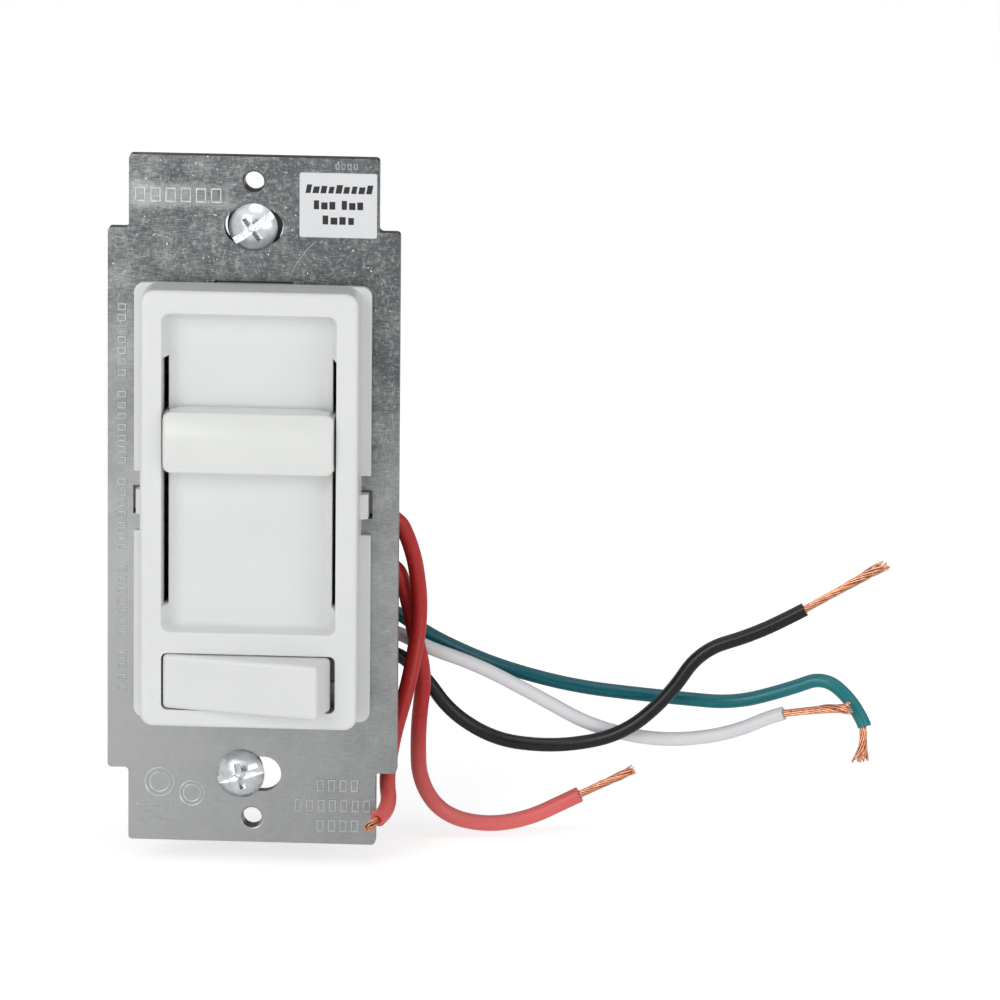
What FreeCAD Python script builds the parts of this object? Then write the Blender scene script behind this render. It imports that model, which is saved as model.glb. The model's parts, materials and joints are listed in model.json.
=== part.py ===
import FreeCAD, Part
import math
import os
import re

# A wall-box slide dimmer: an aluminium mounting strap that is also the heat sink, a snap-on
# bezel with a wide slide and a small rocker, the works behind the strap, and five leads.
# +X is to the right, +Z is up and -Y is towards the room.  The origin is the middle of the
# strap's rear face.  Heights towards the room are called "front" values and are positive.

# Driving dimensions in millimetres.  Every alias is a cell of the sheet.
SIZES = {
    # mounting strap
    "strap_front": 2.0, "strap_tall": 104.4, "tab_wide": 37.2, "wing_wide": 43.5, "wing_tall": 82.3,
    "plate_hole_pitch": 96.84, "plate_hole_radius": 1.5, "plate_collar_radius": 2.5,
    "plate_collar_tall": 1.0, "screw_pitch": 83.34, "screw_slot_long": 8.8, "screw_slot_wide": 5.3,
    # bezel
    "bezel_tall": 66.2, "flange_wide": 35.4, "flange_front": 3.0, "face_wide": 32.5, "face_front": 9.0,
    "shell_wall": 1.6, "shell_corner": 2.0, "recess_wide": 26.0, "recess_top": 29.6,
    "recess_bottom": -18.6, "floor_front": 5.0, "floor_back": 4.0, "recess_draft": 1.0,
    "leg_slot_wide": 0.82, "leg_slot_top": 22.8, "leg_slot_bottom": -14.9,
    "well_tall": 8.7, "well_middle": -26.15, "well_back": 3.2, "tab_tall": 3.7, "notch_tall": 9.1,
    "tongue_wide": 11.2, "tongue_low": 32.2,
    # slider
    "slider_rest": 10.4, "knob_wide": 25.4, "knob_tall": 9.2, "knob_front": 10.2, "knob_crown": 0.5,
    "leg_thick": 0.45, "leg_tall": 8.0, "carriage_front": -0.3, "carriage_back": -1.9,
    "carriage_wide": 28.0, "carriage_tall": 9.0,
    # slide potentiometer
    "pot_middle": 3.95, "pot_wide": 9.0, "pot_tall": 38.0, "pot_front": -3.4, "pot_back": -9.8,
    "pot_wall": 0.5, "lever_thick": 1.5, "lever_tall": 4.0,
    # rocker and switch
    "pivot_front": 7.6, "rocker_tilt": -14.0, "rocker_wide": 24.4, "rocker_tall": 8.3,
    "rocker_face": 4.4, "rocker_skirt": -1.8, "rocker_wall": 1.5, "trunnion_radius": 0.8,
    "bearing_radius": 0.88, "boss_radius": 2.0, "boss_back": -8.15, "spring_seat": -1.35,
    "spring_tall": 4.1, "plunger_radius": 1.2, "plunger_root": -6.05, "plunger_tip": -10.0,
    "arm_tilt": 6.0, "arm_pivot": -2.9, "switch_front": -5.4,
    "switch_back": -9.9, "arm_pin_radius": 0.42, "arm_bearing_radius": 0.5,
    # circuit board and the parts on it
    "board_front": -10.2, "board_back": -11.8, "board_wide": 32.6, "board_tall": 66.0,
    "triac_middle": 28.65, "triac_front": -0.4, "triac_hole_across": -5.6,
    # housing
    "housing_wide": 36.8, "housing_tall": 70.0, "housing_back": -27.0, "housing_wall": 1.3,
    "exit_right": 18.9, "rivet_across": 12.5, "rivet_up": 29.2, "rivet_radius": 1.2,
    # mounting screws and label
    "screw_radius": 1.73, "screw_head_radius": 3.6, "screw_head_tall": 2.3, "screw_long": 22.0,
    "thread_pitch": 0.794, "thread_deep": 0.38, "washer_bore": 1.78,
    "upper_washer_radius": 4.1, "lower_washer_radius": 3.1,
    "lower_screw_slide": -1.65, "label_wide": 11.5, "label_tall": 9.7, "label_thick": 0.1,
    # leads
    "lead_radius": 1.05, "red_lead_radius": 1.2, "core_radius": 0.55, "exit_play": 0.2,
}

ALIAS = re.compile(r"[a-z]+(?:_[a-z]+)+")
FRONT_PLANE = "XZ_Plane"   # sketches seen from the front, built towards the room
PLAN_PLANE = "XY_Plane"    # sketches seen from above, built upwards
SIDE_PLANE = "YZ_Plane"    # sketches seen from the right, built towards the right
OVERRUN = 0.5              # how far a cutting tool passes the face it opens
NEARLY = 0.01              # two lengths this close count as equal

size = type("Sizes", (), SIZES)
doc = FreeCAD.newDocument("dimmer_switch")
sub_parts = []


def make_sheet():
    """The spreadsheet that holds the driving dimensions."""
    sheet = doc.addObject("Spreadsheet::Sheet", "dims")
    for row, (alias, number) in enumerate(SIZES.items(), 1):
        sheet.set(f"A{row}", alias)
        sheet.set(f"B{row}", str(number))
        sheet.setAlias(f"B{row}", alias)
    doc.recompute()


def cells(text):
    """An expression in which every dimension name refers to the sheet."""
    return ALIAS.sub(lambda found: "dims." + found.group(), text)


def bind(thing, **expressions):
    """Bind properties to expressions; a double underscore stands for a dot."""
    for name, text in expressions.items():
        thing.setExpression(name.replace("__", "."), cells(text))


# Outlines for sketches

def polygon(points):
    """Straight edges through the points and back to the first."""
    corners = [FreeCAD.Vector(across, up, 0) for across, up in points]
    return [Part.LineSegment(start, end) for start, end in zip(corners, corners[1:] + corners[:1])]


def box(left, low, right, high):
    """A plain rectangle."""
    return polygon([(left, low), (right, low), (right, high), (left, high)])


def disc(across, up, radius):
    """A full circle."""
    return [Part.Circle(FreeCAD.Vector(across, up, 0), FreeCAD.Vector(0, 0, 1), radius)]


def arc(across, up, radius, start, end):
    """An arc between two angles in degrees, counter-clockwise."""
    circle = disc(across, up, radius)[0]
    return Part.ArcOfCircle(circle, math.radians(start), math.radians(end))


def rounded_box(left, low, right, high, radius):
    """A rectangle with four round corners."""
    corners = [(right - radius, high - radius), (left + radius, high - radius),
               (left + radius, low + radius), (right - radius, low + radius)]
    arcs = [arc(across, up, radius, 90 * turn, 90 * turn + 90)
            for turn, (across, up) in enumerate(corners)]
    lines = [Part.LineSegment(first.EndPoint, second.StartPoint)
             for first, second in zip(arcs, arcs[1:] + arcs[:1])]
    return arcs + lines


def centred_box(across, up, wide, tall, radius=0):
    """A rectangle about its middle, with round corners if a radius is given."""
    edges = (across - wide / 2, up - tall / 2, across + wide / 2, up + tall / 2)
    return rounded_box(*edges, radius) if radius else box(*edges)


def slot(across, up, long, wide):
    """A level slot with round ends, about its middle."""
    radius = wide / 2
    reach = long / 2 - radius
    right = arc(across + reach, up, radius, -90, 90)
    left = arc(across - reach, up, radius, 90, 270)
    return [right, Part.LineSegment(right.EndPoint, left.StartPoint),
            left, Part.LineSegment(left.EndPoint, right.StartPoint)]


# PartDesign features

def new_body(label):
    """An empty body that will be written as one sub-part."""
    body = doc.addObject("PartDesign::Body", label)
    body.Label = label
    sub_parts.append(body)
    return body


def sketch(body, plane, outline, offset):
    """A sketch on one of the body's own planes, moved along its normal by an expression."""
    drawing = body.newObject("Sketcher::SketchObject", body.Name + "_sketch")
    support = next(item for item in body.Origin.OriginFeatures if item.Role == plane)
    drawing.AttachmentSupport = [(support, "")]
    drawing.MapMode = "FlatFace"
    drawing.addGeometry(outline, False)
    bind(drawing, AttachmentOffset__Base__z=offset)
    return drawing


def pad(body, plane, outline, start, end):
    """Add the outline's prism between two heights over the plane."""
    feature = body.newObject("PartDesign::Pad", body.Name + "_pad")
    feature.Profile = sketch(body, plane, outline, start)
    bind(feature, Length=f"({end}) - ({start})")
    doc.recompute()


def check_it_cut(body, before):
    """Stop if the last feature took nothing away."""
    doc.recompute()
    if body.Shape.Volume >= before:
        raise RuntimeError(f"{body.Label}: {body.Tip.Name} cuts nothing")


def pocket(body, plane, outline, start, end):
    """Take away the outline's prism between two heights over the plane."""
    before = body.Shape.Volume
    feature = body.newObject("PartDesign::Pocket", body.Name + "_pocket")
    feature.Profile = sketch(body, plane, outline, end)
    bind(feature, Length=f"({end}) - ({start})")
    check_it_cut(body, before)


def revolve(body, plane, outline):
    """Add the outline turned about the sketch's own upright axis."""
    feature = body.newObject("PartDesign::Revolution", body.Name + "_turned")
    feature.Profile = sketch(body, plane, outline, "0")
    feature.ReferenceAxis = (feature.Profile[0], ["V_Axis"])
    feature.Angle = 360
    doc.recompute()


def fillet(body, radius, wanted):
    """Round every edge whose bounding box passes the test."""
    base = body.Tip
    names = [f"Edge{number}" for number, edge in enumerate(base.Shape.Edges, 1)
             if wanted(edge.BoundBox)]
    feature = body.newObject("PartDesign::Fillet", body.Name + "_fillet")
    feature.Base = (base, names)
    feature.Radius = radius
    doc.recompute()


def is_rim(height, radius):
    """A test for circles of this radius in the plane at this front height."""
    def test(bounds):
        round_enough = max(abs(bounds.XLength - 2 * radius), abs(bounds.ZLength - 2 * radius)) < 0.2
        return round_enough and abs(bounds.YMax + height) < NEARLY and bounds.YLength < NEARLY
    return test


def lies_front(height, across, up):
    """A test for edges in the plane at this front height, within a half-width and half-height."""
    def test(bounds):
        flat = abs(bounds.YMin + height) < NEARLY and abs(bounds.YMax + height) < NEARLY
        inside = max(abs(bounds.XMin), abs(bounds.XMax)) <= across
        return flat and inside and max(abs(bounds.ZMin), abs(bounds.ZMax)) <= up
    return test


def place(thing, across=0.0, front=0.0, up=0.0, turn=None):
    """Set a Placement from a position and, if given, an (axis, degrees) turn."""
    rotation = FreeCAD.Rotation(FreeCAD.Vector(*turn[0]), turn[1]) if turn else FreeCAD.Rotation()
    thing.Placement = FreeCAD.Placement(FreeCAD.Vector(across, -front, up), rotation)


# Part primitives

AWAY = ((1, 0, 0), -90)    # turns a primitive's own +Z to +Y, away from the room
ACROSS = ((0, 1, 0), 90)   # turns a primitive's own +Z to +X


def brick(left, back, low, right, front, high):
    """A Part::Box between front heights back and front."""
    item = doc.addObject("Part::Box", "brick")
    bind(item, Length=f"{right} - ({left})", Width=f"{front} - ({back})", Height=f"{high} - ({low})")
    place(item, left, front, low)
    return item


def rod(radius, long, across, front, up, turn=None):
    """A Part::Cylinder that starts at the given point."""
    item = doc.addObject("Part::Cylinder", "rod")
    bind(item, Radius=str(radius), Height=str(long))
    place(item, across, front, up, turn)
    return item


def ring(major, minor, across, front, up, turn=None):
    """A Part::Torus about the given point."""
    item = doc.addObject("Part::Torus", "ring")
    bind(item, Radius1=str(major), Radius2=str(minor))
    place(item, across, front, up, turn)
    return item


def joined(label, items):
    """One solid from touching or overlapping pieces."""
    item = doc.addObject("Part::MultiFuse", label)
    item.Label = label
    item.Shapes = items
    item.Refine = True
    return item


def cut(label, base, tool):
    """The base without the tool."""
    item = doc.addObject("Part::Cut", label)
    item.Label = label
    item.Base = base
    item.Tool = tool
    return item


def grouped(label, items):
    """Separate identical pieces kept in one sub-part."""
    item = doc.addObject("Part::Compound", label)
    item.Label = label
    item.Links = items
    return item


def finish(item):
    """Note a primitive-built item as a sub-part."""
    sub_parts.append(item)


# Strap

def make_strap():
    """The mounting strap: a plate with narrower tabs, slots for the screws and the works."""
    body = new_body("mounting_strap")
    tab, wing = size.tab_wide / 2, size.wing_wide / 2
    end, shoulder = size.strap_tall / 2, size.wing_tall / 2
    quarter = [(tab, end), (tab, shoulder), (wing, shoulder)]
    right = quarter + [(across, -up) for across, up in reversed(quarter)]
    outline = right + [(-across, up) for across, up in reversed(right)]
    pad(body, FRONT_PLANE, polygon(outline), "0", "strap_front")
    corner_round, hole_lip = 0.6, 0.34
    fillet(body, corner_round, lambda b: b.XLength < NEARLY and b.ZLength < NEARLY)

    screw_up, plate_hole = size.screw_pitch / 2, size.plate_hole_pitch / 2
    for side in (1, -1):
        up = side * plate_hole
        pad(body, FRONT_PLANE, disc(0, up, size.plate_collar_radius), "-plate_collar_tall", "0")
        pocket(body, FRONT_PLANE, disc(0, up, size.plate_hole_radius), "-plate_collar_tall", "strap_front")
        pocket(body, FRONT_PLANE, slot(0, side * screw_up, size.screw_slot_long, size.screw_slot_wide),
               "0", "strap_front")
    fillet(body, hole_lip, is_rim(size.strap_front, size.plate_hole_radius))

    leg_middle = (size.knob_wide - size.leg_thick) / 2
    leg_slot_middle = (size.leg_slot_top + size.leg_slot_bottom) / 2
    leg_slot_wide, leg_slot_play, leg_slot_corner = 1.7, 1.2, 0.6
    leg_slot_tall = size.leg_slot_top - size.leg_slot_bottom + leg_slot_play
    snap_middle, snap_wide, snap_play = 16.55, 2.7, 0.6
    rivet_hole = size.rivet_radius + 0.05
    for side in (-1, 1):
        pocket(body, FRONT_PLANE, centred_box(side * leg_middle, leg_slot_middle, leg_slot_wide,
                                              leg_slot_tall, leg_slot_corner), "0", "strap_front")
        pocket(body, FRONT_PLANE, centred_box(side * snap_middle, 0, snap_wide, size.tab_tall + snap_play),
               "0", "strap_front")
        for up in (-size.rivet_up, size.rivet_up):
            pocket(body, FRONT_PLANE, disc(side * size.rivet_across, up, rivet_hole), "0", "strap_front")

    boss_wide, boss_tall, boss_corner = 8.8, 7.0, 1.0
    pocket(body, FRONT_PLANE, centred_box(0, size.well_middle, boss_wide, boss_tall, boss_corner),
           "0", "strap_front")
    latch, latch_play_up = size.tongue_wide / 2 + 0.2, 0.35
    pocket(body, FRONT_PLANE, box(-latch, size.tongue_low - 0.1, latch, size.bezel_tall / 2 + latch_play_up),
           "0", "strap_front")
    triac_rivet_hole = 1.55
    pocket(body, FRONT_PLANE, disc(size.triac_hole_across, size.triac_middle, triac_rivet_hole),
           "0", "strap_front")


# Bezel

def make_bezel():
    """The white moulding: flange, hollow face, slide recess, rocker well, snap tabs and tongue."""
    body = new_body("bezel")
    face, tall = size.face_wide, size.bezel_tall
    flange_corner, face_round = 1.5, 0.7
    pad(body, FRONT_PLANE, centred_box(0, 0, size.flange_wide, tall, flange_corner),
        "strap_front", "flange_front")
    pad(body, FRONT_PLANE, centred_box(0, 0, face, tall, size.shell_corner), "flange_front", "face_front")
    fillet(body, face_round, lies_front(size.face_front, face, tall))
    walls, inside_corner = 2 * size.shell_wall, 0.8
    pocket(body, FRONT_PLANE, centred_box(0, 0, face - walls, tall - walls, inside_corner),
           "strap_front", "face_front - shell_wall")

    trough_wall, trough_corner = 1.0, 1.5
    recess_middle = (size.recess_top + size.recess_bottom) / 2
    recess_tall = size.recess_top - size.recess_bottom
    pad(body, FRONT_PLANE, centred_box(0, recess_middle, size.recess_wide + 2 * trough_wall,
                                       recess_tall + 2 * trough_wall, trough_corner),
        "floor_back", "face_front - shell_wall")
    mouth_corner, floor_corner, floor_round, mouth_round = 1.2, 1.1, 1.3, 0.25
    narrowing = 2 * size.recess_draft
    before = body.Shape.Volume
    loft = body.newObject("PartDesign::SubtractiveLoft", "bezel_recess")
    loft.Profile = sketch(body, FRONT_PLANE, centred_box(0, recess_middle, size.recess_wide, recess_tall,
                                                         mouth_corner), "face_front")
    loft.Sections = [sketch(body, FRONT_PLANE, centred_box(0, recess_middle, size.recess_wide - narrowing,
                                                           recess_tall - narrowing / 3, floor_corner),
                            "floor_front")]
    check_it_cut(body, before)
    fillet(body, floor_round, lies_front(size.floor_front, face, tall))
    fillet(body, mouth_round, lies_front(size.face_front, size.recess_wide / 2 + 0.1, size.recess_top + 0.1))

    for side in (-1, 1):
        outer = side * size.recess_wide / 2
        inner = outer - side * size.leg_slot_wide
        pocket(body, FRONT_PLANE, box(min(outer, inner), size.leg_slot_bottom, max(outer, inner),
                                      size.leg_slot_top), "strap_front", "face_front + 0.2")

    well_wall, well_corner, bearing_reach = 1.0, 0.9, 0.9
    pad(body, FRONT_PLANE, centred_box(0, size.well_middle, size.recess_wide + 2 * well_wall,
                                       size.well_tall + 2 * well_wall, trough_corner),
        "well_back", "face_front - shell_wall")
    pocket(body, FRONT_PLANE, centred_box(0, size.well_middle, size.recess_wide, size.well_tall, well_corner),
           "strap_front", "face_front")
    pocket(body, PLAN_PLANE, disc(0, -size.pivot_front, size.bearing_radius),
           f"well_middle - well_tall / 2 - {bearing_reach}", f"well_middle + well_tall / 2 + {bearing_reach}")

    hook_back, hook_front, hook_reach, leg_inner = 0.15, 1.2, 18.3, 15.4
    snap = [(leg_inner, -4.2), (16.3, -4.2), (17.35, -3.6), (17.35, hook_back), (hook_reach, hook_back),
            (17.5, hook_front), (leg_inner, hook_front)]
    for side in (-1, 1):
        inner, outer = side * size.face_wide / 2, side * (size.flange_wide / 2 + OVERRUN)
        pocket(body, FRONT_PLANE, box(min(inner, outer), -size.notch_tall / 2, max(inner, outer),
                                      size.notch_tall / 2), "strap_front", "flange_front")
        pad(body, PLAN_PLANE, polygon([(side * across, depth) for across, depth in snap]),
            "-tab_tall / 2", "tab_tall / 2")
    tongue, tongue_back = size.tongue_wide / 2, 0.05
    pad(body, FRONT_PLANE, box(-tongue, size.tongue_low, tongue, size.bezel_tall / 2),
        str(tongue_back), "strap_front")


# Slider

def make_knob():
    """The slide's handle: a crowned bar with a thin leg at each end."""
    body = new_body("slide_knob")
    half, tall = size.knob_wide / 2, size.knob_tall / 2
    crown = Part.Arc(FreeCAD.Vector(-size.knob_front, tall, 0),
                     FreeCAD.Vector(-size.knob_front - size.knob_crown, 0, 0),
                     FreeCAD.Vector(-size.knob_front, -tall, 0))
    floor_gap, corner_round, edge_round = 0.3, 1.2, 0.55
    back = -size.floor_front - floor_gap
    corners = [(-size.knob_front, -tall), (back, -tall), (back, tall), (-size.knob_front, tall)]
    pad(body, SIDE_PLANE, [crown] + polygon(corners)[:3], "-knob_wide / 2", "knob_wide / 2")
    fillet(body, corner_round, lambda b: b.XLength < NEARLY and b.ZLength < NEARLY)
    fillet(body, edge_round,
           lambda b: b.YMax < -size.knob_front + 0.9 and b.YMin < -size.knob_front + 0.1)

    cutaway, cutaway_front, leg_top = 2.6, -8.7, -9.0
    barb_front, barb_tip, barb_reach, tip_reach = 1.95, 2.5, 0.35, 0.2
    thin = half - size.leg_thick
    leg = [(half, leg_top), (half, barb_front), (half + barb_reach, barb_front), (half + tip_reach, barb_tip),
           (thin, barb_tip), (thin, leg_top)]
    under = [(half + 0.3, cutaway_front), (half + 0.3, back + OVERRUN), (half - cutaway, back + OVERRUN),
             (half - cutaway, back)]
    for side in (-1, 1):
        pocket(body, PLAN_PLANE, polygon([(side * across, depth) for across, depth in under]),
               "-knob_tall", "knob_tall")
        pad(body, PLAN_PLANE, polygon([(side * across, depth) for across, depth in leg]),
            "-leg_tall / 2", "leg_tall / 2")
    bind(body, Placement__Base__z="slider_rest")


def make_carriage():
    """The plate behind the strap that the knob's legs snap through."""
    body = new_body("slide_carriage")
    plate_corner, pad_wide, pad_tall, pad_corner = 0.8, 6.0, 7.0, 0.6
    pad(body, FRONT_PLANE, centred_box(0, 0, size.carriage_wide, size.carriage_tall, plate_corner),
        "carriage_back", "carriage_front")
    pad(body, FRONT_PLANE, centred_box(0, 0, pad_wide, pad_tall, pad_corner),
        "carriage_back - 1.0", "carriage_back")
    leg_play, lever_play = 0.08, 0.1
    inner = size.knob_wide / 2 - size.leg_thick - leg_play
    outer = size.knob_wide / 2 + leg_play
    reach = size.leg_tall / 2 + 0.1
    for side in (-1, 1):
        left, right = sorted((side * inner, side * outer))
        pocket(body, FRONT_PLANE, box(left, -reach, right, reach), "carriage_back", "carriage_front")
    pocket(body, FRONT_PLANE, centred_box(0, 0, size.lever_thick + lever_play, size.lever_tall + lever_play),
           "carriage_back - 1.0", "carriage_front")
    bind(body, Placement__Base__z="slider_rest")


# Slide potentiometer

def make_potentiometer():
    """The folded steel case, the printed track that closes its back, and the sliding wiper."""
    case_corner, end_margin, lever_play = 0.6, 3.0, 0.4
    inner_wide, inner_tall = size.pot_wide - 2 * size.pot_wall, size.pot_tall - 2 * size.pot_wall
    case = new_body("potentiometer_case")
    pad(case, FRONT_PLANE, centred_box(0, 0, size.pot_wide, size.pot_tall, case_corner),
        "pot_back", "pot_front")
    pocket(case, FRONT_PLANE, centred_box(0, 0, inner_wide, inner_tall), "pot_back", "pot_front - pot_wall")
    pocket(case, FRONT_PLANE, centred_box(0, 0, size.lever_thick + lever_play, inner_tall - end_margin),
           "pot_back", "pot_front")
    bind(case, Placement__Base__z="pot_middle")

    track_play, strips, strip_wide = 0.1, (-2.2, 1.0), 1.2
    track = new_body("potentiometer_track")
    pad(track, FRONT_PLANE, centred_box(0, 0, inner_wide - track_play, inner_tall - track_play),
        "pot_back", "pot_back + 1.2")
    for across in strips:
        pad(track, FRONT_PLANE, centred_box(across, 0, strip_wide, inner_tall - end_margin),
            "pot_back + 1.2", "pot_back + 1.3")
    bind(track, Placement__Base__z="pot_middle")

    block_tall, block_corner, brush_wide, brush_tall = 5.2, 0.4, 0.8, 2.0
    wiper = new_body("potentiometer_wiper")
    pad(wiper, FRONT_PLANE, centred_box(0, 0, inner_wide - 0.4, block_tall, block_corner),
        "pot_back + 2.6", "pot_front - 0.9")
    pad(wiper, FRONT_PLANE, centred_box(0, 0, size.lever_thick, size.lever_tall), "pot_front - 0.9", "-0.9")
    for across in strips:
        pad(wiper, FRONT_PLANE, centred_box(across, 0, brush_wide, brush_tall),
            "pot_back + 1.35", "pot_back + 2.6")
    bind(wiper, Placement__Base__z="slider_rest")


# Rocker and its switch

def make_rocker():
    """The rocker: a hollow cap with two trunnions and a boss for the plunger."""
    body = new_body("rocker")
    half = size.rocker_wide / 2
    edge_round, inside_corner, fused, bearing_reach, web_inset, bore_play = 0.75, 0.5, 0.2, 0.75, 0.4, 0.1
    pad(body, PLAN_PLANE, box(-half, -size.rocker_face, half, -size.rocker_skirt),
        "-rocker_tall / 2", "rocker_tall / 2")
    fillet(body, edge_round, lambda b: b.YMax < -size.rocker_face + NEARLY
           or (b.ZLength < NEARLY and b.XLength < NEARLY))
    inner = size.rocker_wide - 2 * size.rocker_wall
    pocket(body, FRONT_PLANE, centred_box(0, 0, inner, size.rocker_tall - 2 * size.rocker_wall, inside_corner),
           "rocker_skirt", "rocker_face - rocker_wall")
    pad(body, FRONT_PLANE, disc(0, 0, size.boss_radius), "boss_back", f"rocker_face - rocker_wall + {fused}")
    reach, web = size.well_tall / 2 + bearing_reach, size.boss_radius - web_inset
    for start, end in ((web, reach), (-reach, -web)):
        pad(body, PLAN_PLANE, disc(0, 0, size.trunnion_radius), str(start), str(end))
    pocket(body, FRONT_PLANE, disc(0, 0, size.plunger_radius + bore_play), "boss_back", "spring_seat")
    set_on_pivot(body)


def make_plunger():
    """The plunger that slides in the rocker's boss, with a round tip."""
    body = new_body("rocker_plunger")
    radius, tip, taper = size.plunger_radius, 0.8, 1.4
    root, far = -size.plunger_root, -size.plunger_tip
    outline = [Part.LineSegment(FreeCAD.Vector(0, far, 0), FreeCAD.Vector(0, root, 0))]
    corners = [(0, root), (radius, root), (radius, far - taper), (tip, far - tip)]
    outline += polygon(corners)[:3]
    outline.append(arc(0, far - tip, tip, 0, 90))
    revolve(body, PLAN_PLANE, outline)
    set_on_pivot(body)


def make_spring():
    """The coil spring between the bore's blind end and the plunger."""
    coil_radius, pitch, wire_radius, end_gap = size.plunger_radius - 0.3, 0.75, 0.17, 0.3
    helix = doc.addObject("Part::Helix", "spring_path")
    bind(helix, Radius=str(coil_radius), Pitch=str(pitch), Height="spring_tall")
    wire = doc.addObject("Part::RegularPolygon", "spring_wire")
    wire.Polygon = 6
    bind(wire, Circumradius=str(wire_radius))
    place(wire, coil_radius, 0, 0, ((1, 0, 0), 90))
    coil = doc.addObject("Part::Sweep", "rocker_spring")
    coil.Label = "rocker_spring"
    coil.Sections = [wire]
    coil.Spine = (helix, ["Edge1"])
    coil.Solid = True
    coil.Frenet = True
    tilt = FreeCAD.Rotation(FreeCAD.Vector(0, 0, 1), size.rocker_tilt)
    away = FreeCAD.Rotation(FreeCAD.Vector(1, 0, 0), -90)
    start = tilt.multVec(FreeCAD.Vector(0, end_gap - size.spring_seat, 0))
    pivot = FreeCAD.Vector(0, -size.pivot_front, size.well_middle)
    coil.Placement = FreeCAD.Placement(pivot + start, tilt.multiply(away))
    finish(coil)


def set_on_pivot(body):
    """Hang a body on the rocker's pivot, tilted as the rocker stands."""
    place(body, turn=((0, 0, 1), size.rocker_tilt))
    bind(body, Placement__Base__y="-pivot_front", Placement__Base__z="well_middle")


def make_switch():
    """The switch behind the rocker: base, common terminal, fixed contacts and see-saw arm."""
    base = new_body("switch_base")
    base_wide, base_tall, base_corner = 19.0, 9.2, 0.6
    rib_middle, rib_wide, rib_tall = 8.5, 2.0, 7.0
    pad(base, FRONT_PLANE, centred_box(0, 0, base_wide, base_tall, base_corner),
        "switch_back", "switch_front")
    for side in (-1, 1):
        pad(base, FRONT_PLANE, centred_box(side * rib_middle, 0, rib_wide, rib_tall),
            "switch_front", "switch_front + 2.0")
    bind(base, Placement__Base__z="well_middle")

    terminal_wide, terminal_tall, sheet = 3.0, 6.4, 0.5
    common = new_body("common_terminal")
    pad(common, FRONT_PLANE, centred_box(0, 0, terminal_wide, terminal_tall), "switch_front",
        f"switch_front + {sheet}")
    for side in (-1, 1):
        up = side * (terminal_tall - sheet) / 2
        pad(common, FRONT_PLANE, centred_box(0, up, terminal_wide, sheet), f"switch_front + {sheet}",
            "arm_pivot + 1.0")
    pocket(common, PLAN_PLANE, disc(0, -size.arm_pivot, size.arm_bearing_radius),
           f"{-terminal_tall}", f"{terminal_tall}")
    bind(common, Placement__Base__z="well_middle")

    reach, thick, apex, rise = 6.0, 0.6, 0.28, math.tan(math.radians(14))
    arm_half_tall, pin_half_long, pin_depth = 2.2, 3.15, 0.05
    upper = [(reach, -apex - reach * rise), (0, -apex), (-reach, -apex - reach * rise)]
    lower = [(across, depth + thick) for across, depth in reversed(upper)]
    arm = new_body("contact_arm")
    pad(arm, PLAN_PLANE, polygon(upper + lower), str(-arm_half_tall), str(arm_half_tall))
    pad(arm, PLAN_PLANE, disc(0, pin_depth, size.arm_pin_radius), str(-pin_half_long), str(pin_half_long))
    place(arm, 0, size.arm_pivot, size.well_middle, ((0, 0, 1), size.arm_tilt))

    contact_across, post_half, post_front = 5.0, (0.9, 1.5), -3.7
    pip_radius, pip_tall = 1.0, 0.45
    posts = []
    for side in (-1, 1):
        across = side * contact_across
        post = brick(across - post_half[0], size.switch_front, size.well_middle - post_half[1],
                     across + post_half[0], post_front, size.well_middle + post_half[1])
        pip = rod(pip_radius, pip_tall, across, post_front + pip_tall, size.well_middle, AWAY)
        posts.append(joined("fixed_contact", [post, pip]))
    finish(grouped("fixed_contacts", posts))


# Circuit board and the parts on it

CHOKE_MIDDLE = (-5.0, -19.0)

def make_board():
    """The board behind the potentiometer and the switch, notched round the rivet posts."""
    body = new_body("circuit_board")
    wide, tall = size.board_wide / 2, size.board_tall / 2
    notch_in, notch_low = 9.6, 26.2
    quarter = [(notch_in, tall), (notch_in, notch_low), (wide, notch_low)]
    right = quarter + [(across, -up) for across, up in reversed(quarter)]
    outline = right + [(-across, up) for across, up in reversed(right)]
    pad(body, FRONT_PLANE, polygon(outline), "board_back", "board_front")
    hole_across, hole_radius, hole_pitch, last_hole = 14.6, 0.5, 6, 24
    for up in range(-last_hole, last_hole + 1, hole_pitch):
        pair = disc(hole_across, up, hole_radius) + disc(-hole_across, up, hole_radius)
        pocket(body, FRONT_PLANE, pair, "board_back", "board_front")


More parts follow.
